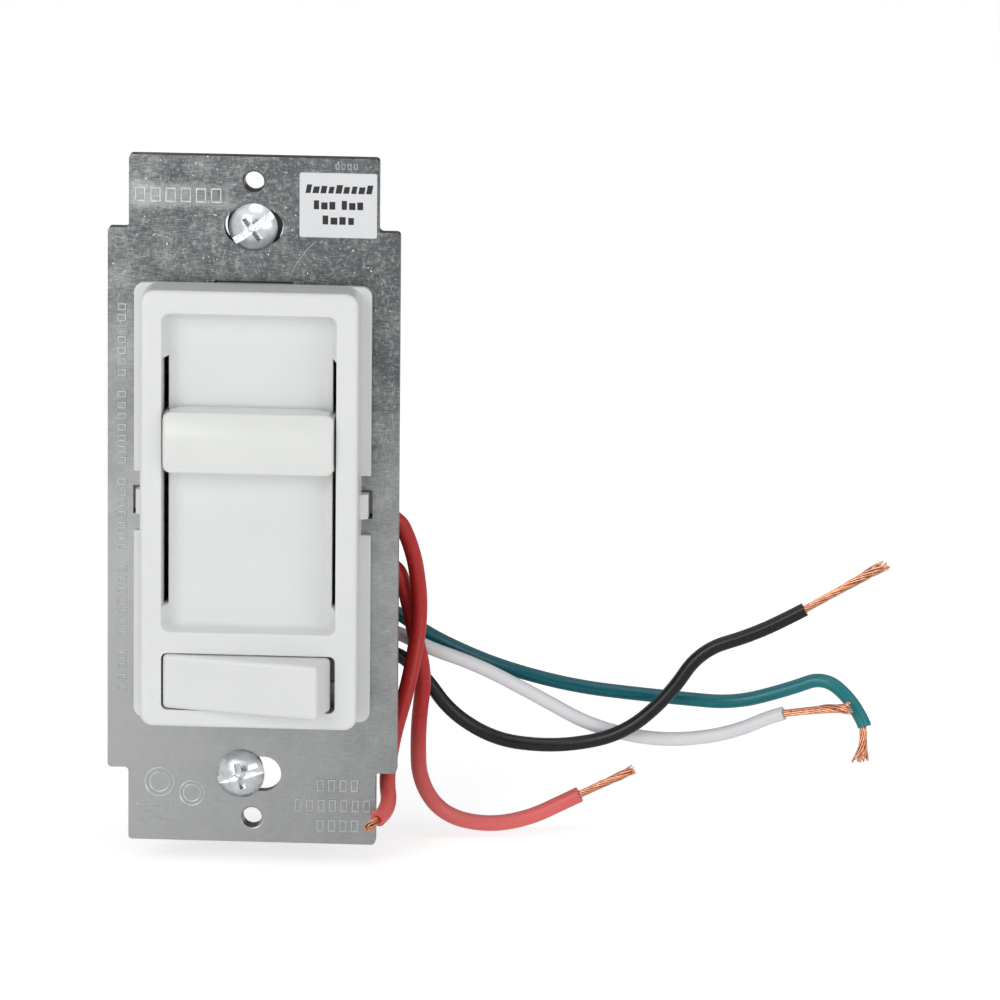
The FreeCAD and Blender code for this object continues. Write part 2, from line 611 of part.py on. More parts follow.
def make_triac():
    """The power triac riveted to the strap, with its insulating pad."""
    tab_wide, body_wide, triac_tall, body_middle = 15.6, 9.2, 9.8, 3.1
    tab_middle, tab_corner, body_corner, tab_hole = -0.1, 0.4, 0.3, 1.8
    body = new_body("power_triac")
    pad(body, FRONT_PLANE, centred_box(tab_middle, 0, tab_wide, triac_tall, tab_corner),
        "triac_front - 1.3", "triac_front")
    pad(body, FRONT_PLANE, centred_box(body_middle, 0, body_wide, triac_tall, body_corner),
        "triac_front - 4.4", "triac_front - 1.3")
    pocket(body, FRONT_PLANE, disc(size.triac_hole_across, 0, tab_hole), "triac_front - 1.3", "triac_front")
    pin_middle, pin_long, pin_wide, pin_pitch = 8.8, 2.6, 0.8, 2.54
    for up in (-pin_pitch, 0, pin_pitch):
        pad(body, FRONT_PLANE, centred_box(pin_middle, up, pin_long, pin_wide),
            "triac_front - 2.9", "triac_front - 2.4")
    bind(body, Placement__Base__z="triac_middle")

    sheet_wide, sheet_tall, sheet_corner, sheet_hole = 17.0, 9.9, 0.5, 1.7
    sheet = new_body("triac_pad")
    pad(sheet, FRONT_PLANE, centred_box(0, 0, sheet_wide, sheet_tall, sheet_corner), "triac_front", "0")
    pocket(sheet, FRONT_PLANE, disc(size.triac_hole_across, 0, sheet_hole), "triac_front", "0")
    bind(sheet, Placement__Base__z="triac_middle")

    shank, head, tail, head_tall, head_round = 1.5, 2.6, 2.4, 0.8, 0.5
    rivet = new_body("triac_rivet")
    pad(rivet, FRONT_PLANE, disc(0, 0, shank), "triac_front - 1.3", "strap_front")
    pad(rivet, FRONT_PLANE, disc(0, 0, head), "strap_front", f"strap_front + {head_tall}")
    pad(rivet, FRONT_PLANE, disc(0, 0, tail), "triac_front - 2.1", "triac_front - 1.3")
    fillet(rivet, head_round, lies_front(size.strap_front + head_tall, head + 1, head + 1))
    place(rivet, across=size.triac_hole_across)
    bind(rivet, Placement__Base__z="triac_middle")


def wire_turn(radius, length, inner, outer, back, front, degrees):
    """One square turn of wire round the core's section, swung about the choke's middle."""
    across, up = CHOKE_MIDDLE
    sides = []
    for reach in (inner, outer):
        sides.append(rod(radius, front - back, reach, front, 0, AWAY))
    for height in (back + radius, front - radius):
        sides.append(rod(radius, length, inner - radius, height, 0, ACROSS))
    turn = joined("winding_turn", sides)
    place(turn, across, 0, up, ((0, 1, 0), -degrees))
    return turn


def make_choke():
    """The noise choke: a toroid core with a single layer of wire."""
    across, up = CHOKE_MIDDLE
    front, thick, core_outer, core_inner = -13.2, 6.0, 8.0, 4.2
    wire, gap, first_turn, last_turn, turn_step = 0.35, 0.05, 20, 340, 16
    outer = rod(core_outer, thick, across, front, up, AWAY)
    bore = rod(core_inner, thick + 2, across, front + 1, up, AWAY)
    finish(cut("choke_core", outer, bore))
    inner, reach = core_inner - wire - gap, core_outer + wire + gap
    back, top = front - thick - 2 * wire - gap, front + 2 * wire + gap
    turns = [wire_turn(wire, reach - inner + 2 * wire, inner, reach, back, top, degrees)
             for degrees in range(first_turn, last_turn + 1, turn_step)]
    finish(grouped("choke_winding", turns))


def axial_part(across, up, radius, long):
    """A small part lying on the board, with a lead bent down at each end."""
    clear, lead, lead_out, lead_level = 0.5, 0.3, 1.2, 1.4
    front = size.board_back - radius - clear
    pieces = [rod(radius, long, across - long / 2, front, up, ACROSS)]
    for side in (-1, 1):
        start = across + side * (long / 2 + lead_out)
        pieces.append(rod(lead, radius + clear, start, size.board_back, up, AWAY))
        pieces.append(rod(lead, lead_level, min(start, start - side * lead_level), front, up, ACROSS))
    return pieces


def make_small_parts():
    """Capacitors, resistors, trigger diode and trimmer on the back of the board."""
    film_up, film_wide, film_tall, film_deep, film_round = 22.5, 18.0, 8.5, 12.0, 0.8
    film = new_body("filter_capacitor")
    pad(film, FRONT_PLANE, centred_box(0, film_up, film_wide, film_tall, film_round),
        f"board_back - {film_deep}", "board_back")
    fillet(film, film_round, lambda b: abs(b.YMax - film_deep + size.board_back) < NEARLY)

    left, right, deep, tall = -11.5, -4.3, 7.5, 3.0
    finish(grouped("timing_capacitors", [brick(left, size.board_back - deep, low, right, size.board_back,
                                               low + tall) for low in (5.6, 11.0)]))

    row, resistor_radius, resistor_long = 6.5, 1.2, 6.3
    finish(grouped("resistors", [joined("resistor", axial_part(row, up, resistor_radius, resistor_long))
                                 for up in (2.5, 6.5, 10.5, 14.5)]))
    diode_up, diode_radius, diode_long = -1.2, 0.95, 4.2
    finish(joined("trigger_diode", axial_part(row, diode_up, diode_radius, diode_long)))

    across, up, wide, tall, corner = 9.5, -13.5, 6.6, 7.2, 0.5
    dial_radius, slot_long, slot_wide = 2.4, 4.0, 0.8
    trimmer = new_body("dim_trimmer")
    pad(trimmer, FRONT_PLANE, centred_box(across, up, wide, tall, corner), "board_back - 4.0", "board_back")
    pad(trimmer, FRONT_PLANE, disc(across, up, dial_radius), "board_back - 4.8", "board_back - 4.0")
    pocket(trimmer, FRONT_PLANE, centred_box(across, up, slot_long, slot_wide),
           "board_back - 4.8", "board_back - 4.2")


# Housing

# Each lead has the length of its bare end and the corners of its path, from inside the housing.
LEAD_PATHS = {
    "red_upper": (3.0, [(15.5, 5.5, -3.0), (21.0, 5.5, -3.0), (23.4, 7.5, -9.2), (24.5, 9.1, -18.5),
                        (22.9, 6.6, -29.0), (20.6, 4.8, -37.2), (19.8, 3.0, -43.3), (20.8, -1.6, -46.4),
                        (17.9, -7.4, -48.4)]),
    "red_lower": (9.4, [(15.5, 8.0, -11.0), (20.6, 8.0, -11.0), (22.1, 11.0, -16.4), (23.2, 13.0, -23.3),
                         (24.6, 14.3, -29.6), (23.5, 15.9, -38.0), (23.6, 17.3, -46.8), (27.0, 18.8, -52.4),
                         (33.5, 19.8, -54.2), (40.0, 20.5, -53.2), (46.8, 21.0, -49.8),
                         (56.2, 21.0, -45.1)]),
    "green": (5.6, [(15.5, 15.5, -20.0), (19.8, 15.5, -20.0), (25.0, 19.0, -24.6), (34.0, 22.6, -29.6),
                    (46.0, 24.0, -33.1), (58.2, 24.9, -34.5), (71.0, 24.9, -35.4), (79.0, 23.8, -32.8),
                    (84.6, 22.7, -30.4), (88.6, 21.8, -33.4), (91.6, 20.7, -38.4), (90.4, 19.2, -42.8)]),
    "white": (10.9, [(15.5, 15.5, -23.2), (19.8, 15.5, -23.2), (25.0, 16.6, -26.0), (32.5, 19.3, -29.2),
                     (41.5, 21.2, -34.3), (49.5, 22.4, -39.0), (60.0, 23.0, -41.2), (70.5, 22.2, -39.6),
                     (78.9, 20.9, -35.3), (89.0, 18.0, -34.0)]),
    "black": (14.4, [(15.5, 15.5, -26.4), (20.2, 15.5, -26.4), (24.4, 17.3, -30.6), (28.2, 18.7, -36.4),
                     (35.0, 20.0, -40.9), (44.5, 20.3, -41.8), (54.4, 20.0, -39.6), (61.4, 20.0, -33.2),
                     (65.9, 20.0, -26.1), (73.8, 20.1, -23.6), (81.6, 20.5, -19.6), (94.0, 21.0, -12.2)]),
}

def lead_outside(name):
    """The radius of a lead's insulation."""
    return size.red_lead_radius if name.startswith("red") else size.lead_radius


def make_housing():
    """The back box: an open tray with four rivet posts and a thick pad where the leads leave."""
    body = new_body("rear_housing")
    wide, tall, wall = size.housing_wide, size.housing_tall, size.housing_wall
    outer_corner, inner_corner, back_round = 3.0, 1.8, 1.2
    pad(body, FRONT_PLANE, centred_box(0, 0, wide, tall, outer_corner), "housing_back", "0")
    fillet(body, back_round, lies_front(size.housing_back, wide, tall))
    pocket(body, FRONT_PLANE, centred_box(0, 0, wide - 2 * wall, tall - 2 * wall, inner_corner),
           "housing_back + housing_wall", "0")

    post_half, rivet_deep = 2.3, 8
    for side in (-1, 1):
        for end in (-1, 1):
            across, up = side * size.rivet_across, end * size.rivet_up
            top, low = end * (tall - wall) / 2, up - end * post_half
            pad(body, FRONT_PLANE, box(across - post_half, min(low, top), across + post_half, max(low, top)),
                "housing_back + 1.0", "0")
            pocket(body, FRONT_PLANE, disc(across, up, size.rivet_radius), str(-rivet_deep), "0")

    exit_left, exit_low, exit_high, exit_corner = 16.8, -28.9, -0.6, 1.0
    exit_back, exit_front = -18.0, -3.6
    pad(body, FRONT_PLANE, rounded_box(exit_left, exit_low, size.exit_right, exit_high, exit_corner),
        str(exit_back), str(exit_front))
    notch_inner, notch_outer, notch_half = 15.0, 20.0, 2.6
    for side in (-1, 1):
        inner, outer = side * notch_inner, side * notch_outer
        pocket(body, FRONT_PLANE, box(min(inner, outer), -notch_half, max(inner, outer), notch_half),
               str(-notch_half), "0")
    hole_start = 14
    for name, (_, corners) in LEAD_PATHS.items():
        _, back, up = corners[0]
        pocket(body, SIDE_PLANE, disc(back, up, lead_outside(name) + size.exit_play), str(hole_start),
               "exit_right + 1")


def make_rivets():
    """Four round-headed rivets from the strap into the housing's posts."""
    head_overhang, head_tall, shank_play, shank_long = 0.9, 0.7, 0.02, 7.5
    rivets = []
    for across in (-size.rivet_across, size.rivet_across):
        for up in (-size.rivet_up, size.rivet_up):
            head = rod(f"rivet_radius + {head_overhang}", str(head_tall), across,
                       size.strap_front + head_tall, up, AWAY)
            shank = rod(f"rivet_radius - {shank_play}", f"strap_front + {shank_long}", across,
                        size.strap_front, up, AWAY)
            rivets.append(joined("housing_rivet", [head, shank]))
    finish(grouped("housing_rivets", rivets))


# Mounting screws

def make_screw(label, across, up, turn):
    """A combination-drive screw with a domed head and a full thread."""
    body = new_body(label)
    head, rim, top = size.screw_head_radius, 0.5, size.screw_head_tall
    radius, root = size.screw_radius, size.screw_radius - size.thread_deep
    dome_radius = (head ** 2 + (top - rim) ** 2) / (2 * (top - rim))
    dome = arc(0, dome_radius - top, dome_radius, -90, -math.degrees(math.acos(head / dome_radius)))
    plain_end, tip_chamfer, first_crest, seat_chamfer = 1.5, 0.3, 0.4, 0.2
    points = [(0, -top), (0, size.screw_long), (root - tip_chamfer, size.screw_long)]
    for index in range(int((size.screw_long - plain_end) / size.thread_pitch), 0, -1):
        crest = first_crest + index * size.thread_pitch
        points += [(root, crest + size.thread_pitch / 2), (radius, crest)]
    points += [(radius, 0), (head - seat_chamfer, 0), (head, -rim)]
    revolve(body, PLAN_PLANE, polygon(points)[:-1] + [dome])

    slot_wide, slot_deep = 1.1, 1.7
    cross_wide, cross_long, cross_deep = 0.95, 4.0, 1.9
    middle, middle_deep = 1.0, 2.1
    for wide, tall, deep in ((2 * head + 1, slot_wide, slot_deep), (cross_long, cross_wide, cross_deep),
                             (cross_wide, cross_long, cross_deep)):
        pocket(body, FRONT_PLANE, centred_box(0, 0, wide, tall), f"screw_head_tall - {deep}",
               "screw_head_tall")
    pocket(body, FRONT_PLANE, polygon([(middle, 0), (0, middle), (-middle, 0), (0, -middle)]),
           f"screw_head_tall - {middle_deep}", "screw_head_tall")
    place(body, across, size.strap_front, up, ((0, 1, 0), -turn))


def make_washer(label, across, up, radius):
    """The fibre washer behind the strap that keeps a mounting screw captive."""
    body = new_body(label)
    washer_back, washer_front = -0.9, -0.05
    ring_outline = disc(0, 0, radius) + disc(0, 0, size.washer_bore)
    pad(body, FRONT_PLANE, ring_outline, str(washer_back), str(washer_front))
    place(body, across, 0, up)


def make_label():
    """The paper sticker on the strap's upper tab."""
    body = new_body("rating_label")
    right, top, corner = 18.3, 50.0, 0.3
    outline = rounded_box(right - size.label_wide, top - size.label_tall, right, top, corner)
    pad(body, FRONT_PLANE, outline, "strap_front", "strap_front + label_thick")


# Leads

def bent_path(points):
    """Edges along the points' legs, with every corner bent to the largest round that fits."""
    pieces, reached = [], points[0]
    for before, corner, after in zip(points, points[1:], points[2:]):
        back, ahead = (before - corner).normalize(), (after - corner).normalize()
        room = 0.499 * min((before - corner).Length, (after - corner).Length)
        start, stop = corner + back * room, corner + ahead * room
        half_turn = (math.pi - back.getAngle(ahead)) / 2
        inset = room * (1 / math.cos(half_turn) - 1) / math.tan(half_turn)
        crest = corner + (back + ahead).normalize() * inset
        pieces.append(Part.LineSegment(reached, start))
        pieces.append(Part.Arc(start, crest, stop))
        reached = stop
    pieces.append(Part.LineSegment(reached, points[-1]))
    return [piece.toShape() for piece in pieces]


def first_part(path, long):
    """The path's edges up to this length, with the last of them shortened."""
    kept = []
    for edge in path:
        if edge.Length >= long:
            kept.append(edge.Curve.toShape(edge.FirstParameter, edge.getParameterByLength(long)))
            break
        kept.append(edge)
        long -= edge.Length
    return kept


def add_lead_piece(label, path, heading, radii):
    """A sub-part swept along a path, with one ring for each radius."""
    start = path[0].valueAt(path[0].FirstParameter)
    rings = [Part.Wire(Part.makeCircle(radius, start, heading)) for radius in radii]
    item = doc.addObject("Part::Feature", label)
    item.Label = label
    item.Shape = Part.Wire(path).makePipe(Part.makeFace(rings, "Part::FaceMakerBullseye"))
    item.Placement = FreeCAD.Placement()
    finish(item)


def make_leads():
    """The five leads: a hollow insulation and the copper conductor inside it."""
    for name, (bare, corners) in LEAD_PATHS.items():
        points = [FreeCAD.Vector(*corner) for corner in corners]
        path, heading = bent_path(points), points[1] - points[0]
        covered = first_part(path, sum(edge.Length for edge in path) - bare)
        add_lead_piece(name + "_lead_insulation", covered, heading,
                       [lead_outside(name), size.core_radius + 0.05])
        add_lead_piece(name + "_lead_conductor", path, heading, [size.core_radius])


def check_all():
    """Stop if any object failed or any sub-part has no valid solid."""
    for item in doc.Objects:
        if "Invalid" in item.State or "Error" in item.State:
            raise RuntimeError(f"{item.Label} failed: {item.State}")
    for item in sub_parts:
        if item.Shape.isNull() or not item.Shape.isValid() or not item.Shape.Solids:
            raise RuntimeError(f"{item.Label} has no valid shape")


def write_parts():
    """Write every sub-part to its own file."""
    os.makedirs("parts", exist_ok=True)
    for item in sub_parts:
        item.Shape.exportStep(f"parts/{item.Label}.step")


make_sheet()
make_strap()
make_bezel()
make_knob()
make_carriage()
make_potentiometer()
make_rocker()
make_plunger()
make_spring()
make_switch()
make_board()
make_triac()
make_choke()
make_small_parts()
make_housing()
make_rivets()
make_screw("upper_mounting_screw", 0.0, size.screw_pitch / 2, 36)
make_screw("lower_mounting_screw", size.lower_screw_slide, -size.screw_pitch / 2, 15)
make_washer("upper_screw_washer", 0.0, size.screw_pitch / 2, size.upper_washer_radius)
make_washer("lower_screw_washer", size.lower_screw_slide, -size.screw_pitch / 2, size.lower_washer_radius)
make_label()
make_leads()
doc.recompute()
check_all()
write_parts()
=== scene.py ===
import json
import math
import random

import bpy
from mathutils import Matrix, Vector


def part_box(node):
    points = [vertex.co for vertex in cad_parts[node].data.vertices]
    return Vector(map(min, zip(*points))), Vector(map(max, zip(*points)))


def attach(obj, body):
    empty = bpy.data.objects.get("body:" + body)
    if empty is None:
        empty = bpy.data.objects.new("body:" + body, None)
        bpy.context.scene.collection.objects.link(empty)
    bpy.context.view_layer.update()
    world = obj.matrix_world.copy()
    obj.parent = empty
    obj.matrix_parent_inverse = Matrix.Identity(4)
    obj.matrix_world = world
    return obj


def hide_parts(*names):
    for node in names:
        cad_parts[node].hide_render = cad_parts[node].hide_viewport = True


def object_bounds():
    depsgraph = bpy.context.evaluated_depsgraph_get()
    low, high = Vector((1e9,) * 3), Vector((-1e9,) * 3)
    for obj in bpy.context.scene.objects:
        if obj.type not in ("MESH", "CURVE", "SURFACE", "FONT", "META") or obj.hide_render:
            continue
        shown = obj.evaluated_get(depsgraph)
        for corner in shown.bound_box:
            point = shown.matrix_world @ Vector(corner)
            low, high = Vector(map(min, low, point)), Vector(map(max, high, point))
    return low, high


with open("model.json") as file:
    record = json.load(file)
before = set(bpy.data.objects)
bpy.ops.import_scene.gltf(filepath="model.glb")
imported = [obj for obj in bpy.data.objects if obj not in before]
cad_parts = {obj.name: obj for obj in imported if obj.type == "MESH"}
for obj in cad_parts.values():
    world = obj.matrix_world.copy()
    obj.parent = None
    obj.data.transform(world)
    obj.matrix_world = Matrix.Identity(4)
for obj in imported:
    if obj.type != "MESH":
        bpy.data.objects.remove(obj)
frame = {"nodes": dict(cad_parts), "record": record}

MM = 0.001
cad_low, cad_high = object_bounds()
nodes = frame["nodes"]
dice = random.Random(7)


# Node helpers

class Tree:
    """A node tree, with short calls for the nodes used here."""

    def __init__(self, owner):
        owner.use_nodes = True
        self.tree = owner.node_tree
        self.tree.nodes.clear()

    def add(self, kind, **settings):
        """A new node with its plain properties set."""
        node = self.tree.nodes.new(kind)
        for key, value in settings.items():
            setattr(node, key, value)
        return node

    def feed(self, socket, value):
        """Put a number, a colour or another node's output into a socket."""
        if isinstance(value, bpy.types.NodeSocket):
            self.tree.links.new(value, socket)
        elif isinstance(value, (int, float)):
            socket.default_value = value
        else:
            socket.default_value = [*value, 1.0][:len(socket.default_value)]

    def spread(self, value, low, high, start=0.3, end=0.7):
        """Stretch a value between two limits."""
        node = self.add("ShaderNodeMapRange")
        self.feed(node.inputs["Value"], value)
        for name, number in (("From Min", start), ("From Max", end), ("To Min", low), ("To Max", high)):
            self.feed(node.inputs[name], number)
        return node.outputs[0]

    def maths(self, operation, first, second=0.0):
        """One arithmetic step."""
        node = self.add("ShaderNodeMath", operation=operation)
        self.feed(node.inputs[0], first)
        self.feed(node.inputs[1], second)
        return node.outputs[0]

    def seen_directly(self):
        """1 where the camera looks straight at this surface, 0 in reflections and bounced light."""
        return self.add("ShaderNodeLightPath").outputs["Is Camera Ray"]


class Recipe(Tree):
    """A material: its surface shader and the textures it is mixed from."""

    def __init__(self, name):
        self.material = bpy.data.materials.new(name)
        super().__init__(self.material)
        output = self.add("ShaderNodeOutputMaterial")
        self.surface = self.add("ShaderNodeBsdfPrincipled")
        self.tree.links.new(self.surface.outputs[0], output.inputs["Surface"])
        self.place = self.add("ShaderNodeTexCoord").outputs["Object"]

    def stretched(self, across, deep, up):
        """Object coordinates in cells of these sizes, in millimetres."""
        mapping = self.add("ShaderNodeMapping")
        self.feed(mapping.inputs["Vector"], self.place)
        self.feed(mapping.inputs["Scale"], (1 / (across * MM), 1 / (deep * MM), 1 / (up * MM)))
        return mapping.outputs[0]

    def noise(self, across, deep=None, up=None, detail=3.0, rough=0.55):
        """Cloudy noise between 0 and 1 with grains of about this size in millimetres."""
        node = self.add("ShaderNodeTexNoise")
        self.feed(node.inputs["Vector"], self.stretched(across, deep or across, up or across))
        self.feed(node.inputs["Scale"], 1.0)
        self.feed(node.inputs["Detail"], detail)
        self.feed(node.inputs["Roughness"], rough)
        return node.outputs["Fac"]

    def blend(self, factor, first, second):
        """Mix two colours."""
        node = self.add("ShaderNodeMix", data_type="RGBA")
        self.feed(node.inputs["Factor"], factor)
        self.feed(node.inputs["A"], first)
        self.feed(node.inputs["B"], second)
        return node.outputs["Result"]

    def bump(self, height, tall, strength=1.0, below=None):
        """A normal from a height between 0 and 1 that stands for this many millimetres."""
        node = self.add("ShaderNodeBump")
        self.feed(node.inputs["Height"], height)
        self.feed(node.inputs["Distance"], tall * MM)
        self.feed(node.inputs["Strength"], strength)
        if below is not None:
            self.feed(node.inputs["Normal"], below)
        return node.outputs[0]

    def position(self, axis):
        """One object coordinate in metres."""
        node = self.add("ShaderNodeSeparateXYZ")
        self.feed(node.inputs[0], self.place)
        return node.outputs[axis]

    def finish(self, **values):
        """Set the surface's sockets by name, with underscores for spaces, and give the material."""
        for key, value in values.items():
            self.feed(self.surface.inputs[key.replace("_", " ")], value)
        return self.material


# Materials

STRAP_FRONT = 2.0
STRAP_PALE = (0.465, 0.475, 0.47)
# darker end of the strap's colour, for the painted darker reflection and the grain
STRAP_DARK_REFLECTION_AND_GRAIN = (0.095, 0.103, 0.106)


def inside(r, axis, low, high, soft):
    """1 between two places on an axis, falling off softly outside them."""
    place = r.position(axis)
    return r.maths("MULTIPLY", r.spread(place, 0.0, 1.0, low - soft, low),
                   r.spread(place, 1.0, 0.0, high, high + soft))


def strap_metal():
    """Mill-finish aluminium with a painted darker reflection towards its upper right, with rolling grain,
    mottle and flecks.
    """
    r = Recipe("strap")
    # painted darker reflection: height and side make the colour darker towards the strap's top and its right
    height = r.spread(r.position("Z"), 0.0, 0.80, -0.012, 0.036)
    side = r.spread(r.position("X"), 0.0, 0.36, -0.020, 0.021)
    shade = r.maths("MINIMUM", r.maths("ADD", height, side), 1.0)
    cloud = r.noise(4.0, detail=4.0)
    level_grain = r.noise(1.9, 1.9, 0.10, detail=4.0, rough=0.75)
    upright_grain = r.noise(0.12, 2.4, 1.3, detail=3.0, rough=0.7)
    grain = r.maths("ADD", r.maths("MULTIPLY", level_grain, 0.72), r.maths("MULTIPLY", upright_grain, 0.28))
    streak = r.maths("MULTIPLY", r.spread(grain, -1.0, 1.0, 0.38, 0.62),
                     r.spread(shade, 0.07, 0.38, 0.0, 1.0))
    patch = r.maths("MULTIPLY", r.spread(cloud, -1.0, 1.0), r.spread(shade, 0.05, 0.18, 0.0, 1.0))
    factor = shade
    for part in (streak, patch):
        factor = r.maths("ADD", factor, part)
    soft_edge = 0.0009
    pressed = r.maths("MULTIPLY", inside(r, "Z", 0.0448, 0.0476, soft_edge),
                      inside(r, "X", -0.0180, -0.0040, soft_edge))
    factor = r.maths("SUBTRACT", factor, r.maths("MULTIPLY", pressed, 0.34))
    # painted darker reflection with grain and patches: the pale metal is mixed towards the darker colour by
    # the factor
    colour = r.blend(r.spread(factor, 0.0, 1.0, 0.0, 1.0), STRAP_PALE, STRAP_DARK_REFLECTION_AND_GRAIN)
    mottle = r.maths("MULTIPLY", r.spread(r.noise(0.7, detail=4.0, rough=0.7), 0.0, 1.0, 0.50, 0.66),
                     r.spread(shade, 0.08, 0.40, 0.0, 1.0))
    colour = r.blend(mottle, colour, STRAP_PALE)
    flecks = r.spread(r.noise(0.45, detail=1.0), 0.0, 1.0, 0.735, 0.775)
    shine = r.maths("MULTIPLY", flecks, r.spread(shade, 0.0, 0.8, 0.2, 0.9))
    colour = r.blend(shine, colour, (0.9, 0.9, 0.9))
    lower = r.bump(grain, 0.010, 0.7)
    return r.finish(Base_Color=colour, Metallic=1.0, Roughness=r.spread(cloud, 0.30, 0.42),
                    Anisotropic=0.3, Normal=r.bump(r.noise(0.25, detail=2.0), 0.006, 0.7, lower))


def moulded_plastic(name, colour, rough, texture=0.004, glow=0.15):
    """Injection-moulded plastic: a faint orange-peel skin, slight tone drift and fine dust."""
    r = Recipe(name)
    skin = r.noise(0.35, detail=2.0)
    drift = r.noise(14.0, detail=2.0)
    shade = [0.965 * part for part in colour]
    dust = r.spread(r.noise(0.16, detail=1.0), 0.0, 1.0, 0.74, 0.80)
    tinted = r.blend(r.spread(drift, 0.0, 1.0), colour, shade)
    dusty = r.blend(r.maths("MULTIPLY", dust, 0.25), tinted, [0.45 * part for part in colour])
    return r.finish(Base_Color=dusty, Roughness=r.spread(skin, rough * 0.9, rough * 1.12),
                    Specular_IOR_Level=0.5, Subsurface_Weight=glow, Subsurface_Radius=(1.2, 1.1, 1.0),
                    Subsurface_Scale=0.6 * MM, Normal=r.bump(skin, texture, 0.6))


def plated_steel(name, tint, rough=0.16):
    """Bright zinc or nickel plate with turning marks and tiny pits."""
    r = Recipe(name)
    bloom = r.noise(1.3, detail=3.0)
    marks = r.noise(0.5, 0.5, 0.05, detail=3.0)
    pits = r.noise(0.12, detail=2.0)
    colour = r.blend(r.spread(bloom, 0.0, 1.0), tint, [0.72 * part for part in tint])
    return r.finish(Base_Color=colour, Metallic=1.0, Roughness=r.spread(marks, rough, rough + 0.16),
                    Normal=r.bump(pits, 0.012, 0.7))


def pvc(name, colour, scuff_and_painted_light_colour, rough=0.34, painted_light_ramp=None):
    """Extruded wire insulation: scuffs and a waxy sheen, with painted light that makes it paler along an axis
    if one is given.
    """
    r = Recipe(name)
    if painted_light_ramp:
        axis, start, end, amount = painted_light_ramp
        # painted light: the insulation turns paler along the axis, towards the scuff colour, where the light
        # falls
        colour = r.blend(r.spread(r.position(axis), 0.0, amount, start, end), colour, scuff_and_painted_light_colour)
    scuffs = r.spread(r.noise(1.1, detail=5.0, rough=0.7), 0.0, 1.0, 0.58, 0.74)
    ripple = r.noise(0.8, detail=3.0)
    tinted = r.blend(r.maths("MULTIPLY", scuffs, 0.35), colour, scuff_and_painted_light_colour)
    return r.finish(Base_Color=tinted, Roughness=r.spread(scuffs, rough, rough + 0.2),
                    Specular_IOR_Level=0.35, Subsurface_Weight=0.12, Subsurface_Radius=(1.0, 0.6, 0.5),
                    Subsurface_Scale=0.3 * MM, Normal=r.bump(ripple, 0.035, 0.6))


def bare_copper():
    """Drawn copper strand, bright on the crests and browner in the gaps."""
    r = Recipe("copper_strand")
    stain = r.noise(0.9, detail=3.0)
    colour = r.blend(r.spread(stain, 0.0, 1.0), (0.93, 0.52, 0.36), (0.62, 0.27, 0.15))
    return r.finish(Base_Color=colour, Metallic=1.0, Roughness=0.26,
                    Normal=r.bump(r.noise(0.08, detail=1.0), 0.004))


def paper():
    """Matte sticker stock with a faint fibre."""
    r = Recipe("sticker_paper")
    fibre = r.noise(0.3, 0.3, 0.12, detail=4.0)
    return r.finish(Base_Color=r.blend(r.spread(fibre, 0.0, 1.0), (0.765, 0.775, 0.79), (0.72, 0.73, 0.745)),
                    Roughness=0.55, Normal=r.bump(fibre, 0.004))


def printing_ink():
    """Slightly glossy black print."""
    r = Recipe("printing_ink")
    wear = r.noise(0.15, detail=2.0)
    return r.finish(Base_Color=r.blend(r.spread(wear, 0.0, 1.0, 0.6, 0.9), (0.012, 0.012, 0.014),
                                       (0.06, 0.06, 0.065)), Roughness=0.5)


def speckled(name, first, second, grain, rough, metal=0.0, tall=0.01):
    """A two-tone material for the hidden works: laminate, ferrite, fibre, lacquer."""
    r = Recipe(name)
    fleck = r.noise(grain, detail=4.0)
    return r.finish(Base_Color=r.blend(r.spread(fleck, 0.0, 1.0), first, second), Metallic=metal,
                    Roughness=r.spread(fleck, rough, rough + 0.12), Normal=r.bump(fleck, tall))


def housing_plastic():
    """Black thermoset with a spark-eroded grain."""
    r = Recipe("housing_plastic")
    grain = r.noise(0.28, detail=4.0, rough=0.7)
    rub = r.spread(r.noise(9.0, detail=5.0), 0.0, 1.0, 0.55, 0.75)
    colour = r.blend(rub, (0.018, 0.018, 0.019), (0.035, 0.035, 0.036))
    return r.finish(Base_Color=colour, Roughness=r.spread(rub, 0.42, 0.55), Normal=r.bump(grain, 0.03, 0.7))


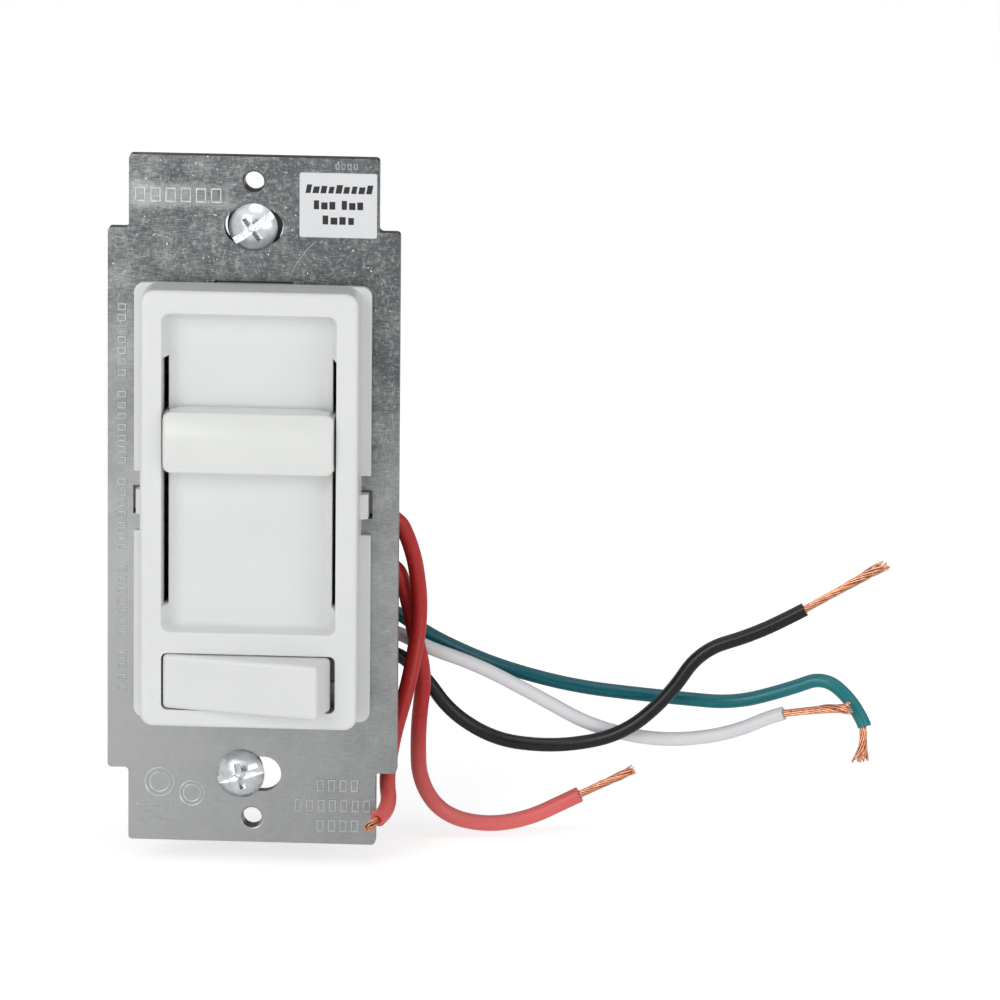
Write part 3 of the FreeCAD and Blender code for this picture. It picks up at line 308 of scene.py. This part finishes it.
def make_materials():
    """Every material by its slot in the record."""
    white = (0.775, 0.79, 0.78)
    return {
        "strap": strap_metal(),
        "white_plastic": moulded_plastic("white_plastic", white, 0.34),
        "knob_plastic": moulded_plastic("knob_plastic", (0.785, 0.80, 0.78), 0.12, 0.002),
        "zinc": plated_steel("zinc", (0.80, 0.83, 0.86)),
        "fibre": speckled("fibre", (0.24, 0.24, 0.235), (0.16, 0.16, 0.155), 0.3, 0.6),
        "sticker": paper(),
        "raised_metal": speckled("raised_metal", (0.66, 0.67, 0.68), (0.50, 0.51, 0.52), 0.6, 0.34, 1.0,
                                 0.004),
        "black_housing": housing_plastic(),
        "grey_plastic": moulded_plastic("grey_plastic", (0.16, 0.165, 0.17), 0.4),
        "steel": plated_steel("steel", (0.62, 0.62, 0.61), 0.25),
        "phenolic": speckled("phenolic", (0.20, 0.09, 0.035), (0.13, 0.055, 0.02), 0.4, 0.45),
        "board": speckled("board", (0.33, 0.25, 0.09), (0.25, 0.18, 0.06), 0.5, 0.4),
        "black_plastic": moulded_plastic("black_plastic", (0.02, 0.02, 0.02), 0.45),
        "brass": speckled("brass", (0.80, 0.58, 0.26), (0.60, 0.40, 0.17), 1.0, 0.25, 1.0, 0.004),
        "silver": plated_steel("silver", (0.82, 0.81, 0.78), 0.2),
        "ferrite": speckled("ferrite", (0.09, 0.09, 0.10), (0.04, 0.04, 0.045), 0.3, 0.6),
        "enamelled_wire": speckled("enamelled_wire", (0.60, 0.20, 0.07), (0.42, 0.12, 0.04), 1.0, 0.2, 0.9),
        "film": speckled("film", (0.68, 0.46, 0.05), (0.60, 0.40, 0.04), 2.0, 0.3),
        "resistor": speckled("resistor", (0.66, 0.50, 0.32), (0.58, 0.42, 0.25), 1.0, 0.35),
        "blue_plastic": moulded_plastic("blue_plastic", (0.04, 0.12, 0.38), 0.3),
        "glass_bead": speckled("glass_bead", (0.55, 0.20, 0.08), (0.30, 0.08, 0.04), 0.8, 0.12),
        "rivet": speckled("rivet", (0.70, 0.70, 0.70), (0.55, 0.55, 0.56), 0.8, 0.3, 1.0, 0.006),
        "copper": bare_copper(),
        # painted light: the red insulation is paler towards its lower end, the green (teal) one towards its
        # right end
        "red_pvc": pvc("red_pvc", (0.52, 0.026, 0.024), (0.80, 0.17, 0.16),
                       painted_light_ramp=("Z", -0.036, -0.052, 0.95)),
        "green_pvc": pvc("green_pvc", (0.0, 0.095, 0.122), (0.02, 0.26, 0.28), 0.24,
                         ("X", 0.050, 0.094, 0.8)),
        "white_pvc": pvc("white_pvc", (0.75, 0.76, 0.78), (0.60, 0.61, 0.64)),
        "black_pvc": pvc("black_pvc", (0.008, 0.008, 0.009), (0.035, 0.035, 0.037), 0.28),
    }


def dress_cad_nodes(materials):
    """Give each CAD node the material its slot names."""
    for entry in frame["record"]["subparts"]:
        mesh = nodes[entry["node"]].data
        mesh.materials.clear()
        mesh.materials.append(materials[entry["material_slot"]])


# Mesh helpers

def add_piece(name, vertices, faces, material, body, smooth=True):
    """A mesh that rides on a CAD body."""
    mesh = bpy.data.meshes.new(name)
    mesh.from_pydata(vertices, [], faces)
    mesh.materials.append(material)
    mesh.validate()
    for face in mesh.polygons:
        face.use_smooth = smooth
    item = bpy.data.objects.new(name, mesh)
    bpy.context.scene.collection.objects.link(item)
    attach(item, body)
    return item


def merge(parts):
    """Join (vertices, faces) pairs into one pair."""
    vertices, faces = [], []
    for part_vertices, part_faces in parts:
        base = len(vertices)
        vertices += part_vertices
        faces += [tuple(index + base for index in face) for face in part_faces]
    return vertices, faces


def tube(points, radius, sides=8):
    """A round tube with closed ends along a list of points."""
    vertices, faces = [], []
    across = Vector((0.3, 0.9, 0.2)).normalized()
    for index, point in enumerate(points):
        ahead = points[min(index + 1, len(points) - 1)] - points[max(index - 1, 0)]
        ahead.normalize()
        across = (across - ahead * across.dot(ahead)).normalized()
        other = ahead.cross(across)
        for side in range(sides):
            angle = 2 * math.pi * side / sides
            vertices.append(point + (across * math.cos(angle) + other * math.sin(angle)) * radius)
    for ring in range(len(points) - 1):
        for side in range(sides):
            near, far = ring * sides + side, ring * sides + (side + 1) % sides
            faces.append((near, far, far + sides, near + sides))
    faces.append(tuple(reversed(range(sides))))
    faces.append(tuple(range(len(vertices) - sides, len(vertices))))
    return vertices, faces


def pillow_bar(across, up, long, tall, proud, turn=0.0):
    """A low bar with sloping sides that stands out of the strap's front."""
    vertices = []
    levels = ((0.5, 0.0), (0.5 - 0.25 * tall / long, 0.8), (0.5 - 0.45 * tall / long, 1.0))
    for half_long, lift in levels:
        half_tall = 0.5 - 0.25 * lift
        for right, top in ((-1, -1), (1, -1), (1, 1), (-1, 1)):
            x, z = right * half_long * long, top * half_tall * tall
            turned_x = x * math.cos(turn) - z * math.sin(turn)
            turned_z = x * math.sin(turn) + z * math.cos(turn)
            vertices.append(Vector((across + turned_x, -STRAP_FRONT - proud * lift, up + turned_z)) * MM)
    faces = []
    for base in (0, 4):
        for side in range(4):
            after = (side + 1) % 4
            faces.append((base + side, base + after, base + 4 + after, base + 4 + side))
    faces.append((8, 9, 10, 11))
    return vertices, faces


def ring_mark(across, up, radius, thick, proud):
    """A raised ring on the strap's front."""
    points = []
    steps = 40
    for step in range(steps + 1):
        angle = 2 * math.pi * step / steps
        x, z = across + radius * math.cos(angle), up + radius * math.sin(angle)
        points.append(Vector((x, -STRAP_FRONT, z)) * MM)
    vertices, faces = tube(points, thick * MM / 2)
    flat = -STRAP_FRONT * MM
    squashed = [Vector((v.x, flat + (v.y - flat) * proud / thick * 2, v.z)) for v in vertices]
    return squashed, faces


# Strap marks

def mark_rows():
    """Plain boxes where the strap is stamped: (across, up, long, tall, stroke) in millimetres."""
    marks = [(-16.9 + index * 2.26, 46.2, 1.7, 2.3, 0.34) for index in range(6)]
    marks += [(12.4 + index * 0.9, 51.0, 0.6, 0.9, 0.16) for index in range(4)]
    marks += [(-19.6, 29.2 - index * 1.66, 1.35, 1.05, 0.24) for index in range(36) if index % 8 != 7]
    for row, (left, count) in enumerate(((10.3, 4), (7.0, 7), (10.3, 4))):
        marks += [(left + index * 1.72, -43.2 - row * 3.1, 1.15, 1.9, 0.28) for index in range(count)]
    for row, count in enumerate((6, 3, 5)):
        marks += [(-14.2 + (index - count / 2) * 1.0, -47.0 - row * 1.0, 0.6, 0.6, 0.15)
                  for index in range(count)]
    return marks


def frame_mark(across, up, long, tall, stroke, proud):
    """A raised outline box on the strap's front."""
    level, upright = long / 2 - stroke / 2, tall / 2 - stroke / 2
    quarter = math.pi / 2
    return merge([pillow_bar(across, up + upright, long, stroke, proud),
                  pillow_bar(across, up - upright, long, stroke, proud),
                  pillow_bar(across + level, up, tall - stroke, stroke, proud, quarter),
                  pillow_bar(across - level, up, tall - stroke, stroke, proud, quarter)])


def emboss_strap(material):
    """Raised generic boxes and two double rings, pressed out of the strap's front."""
    proud, ring_thick = 0.13, 0.28
    parts = [frame_mark(*mark, proud) for mark in mark_rows()]
    rings = ((-13.9, -43.3, 2.2), (-13.9, -43.3, 1.5), (-9.0, -44.9, 1.9), (-9.0, -44.9, 1.3))
    for across, up, radius in rings:
        parts.append(ring_mark(across, up, radius, ring_thick, proud))
    vertices, faces = merge(parts)
    add_piece("strap_marks", vertices, faces, material, "device", smooth=False)


def scratch(start, end, bow, radius):
    """A thin proud line between two places on the strap, bowed to one side."""
    across, up = end[0] - start[0], end[1] - start[1]
    points = []
    steps = 5
    for step in range(steps + 1):
        t = step / steps
        side = bow * 4 * t * (1 - t)
        x, z = start[0] + across * t - up * side, start[1] + up * t + across * side
        points.append(Vector((x, -STRAP_FRONT, z)) * MM)
    return tube(points, radius * MM, 5)


def under_a_screw(x, z):
    """True where a mounting screw's head can slide over the strap."""
    screw_up, reach_across, reach_up = 41.67, 9.0, 6.5
    return abs(x) < reach_across and abs(abs(z) - screw_up) < reach_up


def scratch_strap(material):
    """Two long scratches above the bezel and fine ones at random over the strap's open areas."""
    deep = 0.035
    parts = [scratch((-4.7, 33.6), (-4.2, 38.2), 0.05, deep), scratch((5.2, 33.7), (8.9, 39.4), 0.06, deep)]
    areas = ((-17, 17, 35, 50, 26), (-21, -18, -38, 38, 12), (18.5, 21, -38, 38, 12), (-17, 17, -50, -35, 10))
    for left, right, low, high, count in areas:
        for _ in range(count):
            x, z = dice.uniform(left, right), dice.uniform(low, high)
            angle, long = dice.uniform(0, math.pi), dice.uniform(0.5, 2.6)
            far_x = min(max(x + long * math.cos(angle), left), right)
            far_z = min(max(z + long * math.sin(angle), low), high)
            line = scratch((x, z), (far_x, far_z), dice.uniform(-0.08, 0.08), dice.uniform(0.010, 0.022))
            if not under_a_screw(x, z):
                parts.append(line)
    vertices, faces = merge(parts)
    add_piece("strap_scratches", vertices, faces, material, "device")


def print_label(material):
    """Generic printed bars on the sticker, in place of its words."""
    low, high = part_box("rating_label")
    front = -low.y / MM + 0.004
    middle = (low.x + high.x) / 2 / MM
    top = high.z / MM
    parts = []
    gap = 0.6
    rows = ((2.4, 1.3, 1.13, (9,), 0.20), (4.8, 1.35, 1.18, (3, 3), 0.0), (7.05, 1.35, 1.27, (4,), 0.0))
    for down, tall, pitch, words, slant in rows:
        start = middle - (sum(words) * pitch + (len(words) - 1) * gap) / 2
        for letters in words:
            for index in range(letters):
                width = pitch * (0.66, 0.80, 0.74)[index % 3]
                height = tall * (1.0, 0.78, 0.86, 0.78)[index % 4]
                x, foot = start + (index + 0.5) * pitch, top - down - tall / 2
                corners = ((-width / 2, 0.0), (width / 2, 0.0), (width / 2, height), (-width / 2, height))
                parts.append(([Vector((x + dx + slant * dz, -front, foot + dz)) * MM for dx, dz in corners],
                              [(0, 1, 2, 3)]))
            start += letters * pitch + gap
    vertices, faces = merge(parts)
    add_piece("label_print", vertices, faces, material, "device", smooth=False)


# Bare strands.  Each lead has the amount its strands spread at the tip.

LEADS = {"red_upper": 0.30, "red_lower": 0.22, "green": 0.9, "white": 0.5, "black": 0.45}


def bend(start, start_way, end, end_way, count):
    """Points on a smooth curve between two places that leaves and arrives in given directions."""
    reach = (end - start).length / 3
    near, far = start + start_way * reach, end - end_way * reach
    points = []
    for step in range(count + 1):
        t = step / count
        u = 1 - t
        points.append(start * u ** 3 + near * 3 * t * u * u + far * 3 * t * t * u + end * t ** 3)
    return points


def bare_end(name):
    """The middle line of a lead's bare copper, from just inside its insulation to its tip."""
    mount = next(item for item in frame["record"]["mounts"] if item["name"] == name + "_lead_end")
    tip, way = Vector(mount["pos_m"]), Vector(mount["axis"]).normalized()
    skin = [vertex.co for vertex in nodes[name + "_lead_insulation"].data.vertices]
    nearest = min((place - tip).length for place in skin)
    mouth = [place for place in skin if (place - tip).length < nearest + 0.7 * MM]
    middle = sum(mouth, Vector()) / len(mouth)
    chord = (tip - middle).normalized()
    start_way = (chord * 2 - way).normalized()
    return bend(middle - start_way * 2 * MM, start_way, tip, way, 24)


def strand_bundle(line, splay):
    """Fine strands laid in a slight twist along a line, spreading towards the tip."""
    wire, lay = 0.125, 14.0
    across = (line[-1] - line[0]).cross(Vector((0.2, 1.0, 0.3))).normalized()
    other = (line[-1] - line[0]).normalized().cross(across)
    places = [(0.0, 0.0)]
    for ring_radius, count, start in ((0.24, 5, 0.0), (0.45, 10, 0.3)):
        places += [(ring_radius, (turn + start) / count) for turn in range(count)]
    total = (line[-1] - line[0]).length / MM
    parts = []
    for radius, turn in places:
        drift, swing = dice.uniform(0.3, 1.0) * splay, dice.uniform(-0.35, 0.35)
        cut_short = dice.uniform(0.0, 0.06)
        wobble = [dice.uniform(-0.05, 0.05) for _ in range(4)]
        points = []
        for index, place in enumerate(line):
            along = index / (len(line) - 1) * (1 - cut_short)
            spread = max(0.0, along - 0.35) / 0.65
            angle = 2 * math.pi * (turn + along * total / lay) + swing * spread
            reach = radius + drift * spread ** 2 * (0.4 + radius * 1.6)
            ripple = wobble[0] * math.sin(9 * along + 6 * turn) + wobble[1] * math.cos(14 * along)
            side = across * (reach * math.cos(angle) + ripple * spread)
            lift = other * (reach * math.sin(angle) + wobble[2] * spread)
            exact = along * (len(line) - 1)
            lower = min(int(exact), len(line) - 2)
            base = line[lower].lerp(line[lower + 1], exact - lower)
            points.append(base + (side + lift) * MM)
        parts.append(tube(points, wire * MM, 7))
    return merge(parts)


def strip_leads(material):
    """Swap each solid conductor for a bundle of strands that shows at the lead's bare end."""
    for name, splay in LEADS.items():
        vertices, faces = strand_bundle(bare_end(name), splay)
        strands = add_piece(name + "_strands", vertices, faces, material, "device")
        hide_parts(name + "_lead_conductor")


# Studio

def aim(item, place, target):
    """Put an object in place with its own -Z towards a target."""
    item.location = place
    item.rotation_mode = "QUATERNION"
    item.rotation_quaternion = (target - place).to_track_quat("-Z", "Y")


def add_softbox(name, place, target, wide, tall, watts):
    """A rectangular soft light."""
    data = bpy.data.lights.new(name, "AREA")
    data.shape = "RECTANGLE"
    data.size = wide
    data.size_y = tall
    data.energy = watts
    lamp = bpy.data.objects.new(name, data)
    bpy.context.scene.collection.objects.link(lamp)
    aim(lamp, Vector(place), Vector(target))


def add_world():
    """A white surround for the camera, dim for bounced light, with soft bright panels in reflections."""
    world = bpy.data.worlds.new("studio")
    t = Tree(world)
    rays = t.add("ShaderNodeLightPath")
    way = t.add("ShaderNodeSeparateXYZ")
    t.feed(way.inputs[0], t.add("ShaderNodeTexCoord").outputs["Generated"])
    overhead = t.spread(way.outputs["Z"], 0.0, 1.1, 0.42, 0.52)
    from_left = t.spread(way.outputs["X"], 0.0, 0.9, -0.50, -0.60)
    from_right = t.spread(way.outputs["X"], 0.0, 0.7, 0.72, 0.80)
    panels = t.maths("MAXIMUM", t.maths("MAXIMUM", overhead, from_left), from_right)
    mirrored = t.maths("ADD", panels, 0.10)
    bounced = 0.32
    strength = t.add("ShaderNodeMix", data_type="FLOAT")
    t.feed(strength.inputs["Factor"], rays.outputs["Is Glossy Ray"])
    t.feed(strength.inputs["A"], bounced)
    t.feed(strength.inputs["B"], mirrored)
    sky = t.add("ShaderNodeBackground")
    seen = t.maths("MAXIMUM", strength.outputs["Result"], rays.outputs["Is Camera Ray"])
    t.feed(sky.inputs["Strength"], seen)
    output = t.add("ShaderNodeOutputWorld")
    t.tree.links.new(sky.outputs[0], output.inputs["Surface"])
    bpy.context.scene.world = world


def add_floor():
    """A wide pale floor just under the lowest lead."""
    half = 4.0
    level = cad_low.z - 1.0 * MM
    mesh = bpy.data.meshes.new("floor")
    mesh.from_pydata([(-half, -half, level), (half, -half, level), (half, half, level), (-half, half, level)],
                     [], [(0, 1, 2, 3)])
    r = Recipe("floor")
    speck = r.noise(30.0, detail=3.0)
    glow = r.maths("ADD", 0.20, r.maths("MULTIPLY", r.seen_directly(), 0.42))
    mesh.materials.append(r.finish(Base_Color=r.blend(r.spread(speck, 0.0, 1.0), (0.93, 0.93, 0.93),
                                                      (0.95, 0.95, 0.95)), Roughness=0.9,
                                   Emission_Color=(1.0, 1.0, 1.0), Emission_Strength=glow))
    item = bpy.data.objects.new("floor", mesh)
    bpy.context.scene.collection.objects.link(item)


def add_camera():
    """A long lens, a little above and to the right of the device, rolled slightly clockwise."""
    azimuth, elevation, roll = math.radians(4.0), math.radians(12.26), math.radians(0.515)
    target = Vector((36.9, -2.0, 1.17)) * MM
    distance = 1.472
    scale = 6.727
    ahead = Vector((-math.sin(azimuth) * math.cos(elevation), math.cos(azimuth) * math.cos(elevation),
                    -math.sin(elevation)))
    level = Vector((math.cos(azimuth), math.sin(azimuth), 0.0))
    above = level.cross(ahead)
    right = level * math.cos(roll) + above * math.sin(roll)
    up = above * math.cos(roll) - level * math.sin(roll)
    data = bpy.data.cameras.new("camera")
    data.sensor_width = 36.0
    frame_wide = 1000.0
    data.lens = data.sensor_width * scale * distance / MM / frame_wide
    data.clip_start, data.clip_end = 0.05, 20.0
    camera = bpy.data.objects.new("camera", data)
    camera.matrix_world = Matrix.Translation(target - ahead * distance) @ Matrix((
        (right.x, up.x, -ahead.x, 0.0), (right.y, up.y, -ahead.y, 0.0), (right.z, up.z, -ahead.z, 0.0),
        (0.0, 0.0, 0.0, 1.0)))
    bpy.context.scene.collection.objects.link(camera)
    bpy.context.scene.camera = camera


materials = make_materials()
dress_cad_nodes(materials)
emboss_strap(materials["raised_metal"])
scratch_strap(materials["rivet"])
print_label(printing_ink())
strip_leads(materials["copper"])
add_world()
add_floor()
add_softbox("key", (-0.75, -1.5, 0.75), (0, 0, 0), 0.9, 0.9, 9.6)
add_softbox("fill", (1.1, -1.0, 0.2), (0, 0, 0), 1.0, 1.0, 7.0)
add_softbox("overhead", (0.1, -0.35, 1.4), (0, 0, 0), 0.9, 0.7, 3.0)
add_softbox("panel", (-0.1305, -0.40, 0.009), (-0.1305, 0, 0.009), 0.165, 0.076, 0.16)
add_camera()
bpy.context.scene.view_settings.view_transform = "Standard"
